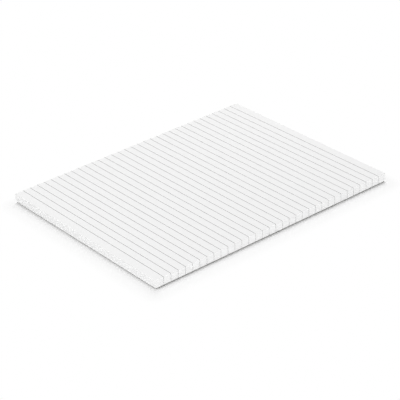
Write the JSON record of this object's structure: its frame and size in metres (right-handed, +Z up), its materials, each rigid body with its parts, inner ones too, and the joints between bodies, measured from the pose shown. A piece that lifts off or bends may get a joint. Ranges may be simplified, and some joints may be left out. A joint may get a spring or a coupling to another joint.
{
  "type": "notepad",
  "caption": "Ruled writing pad: a flat block of white paper with grey rules printed off both long edges, gummed along one short edge on a chipboard back.",
  "frame": {"origin": "middle of the pad's underside", "axes": "+X across the page to its right-hand long edge, +Y up the page towards the gummed head edge, +Z up out of the ruled face"},
  "size_m": [0.2032, 0.2542, 0.0088],
  "materials": {
    "paper": "uncoated white writing paper, matt",
    "ink": "thin grey printing ink soaked into the paper, matt",
    "chipboard": "plain grey chipboard, matt, with fine fibres",
    "glue": "dried white padding glue, slightly satin"
  },
  "bodies": {
    "root": {"sheet_block": "paper", "ruling": "ink", "backing_board": "chipboard", "padding_glue": "glue"}
  },
  "joints": []
}
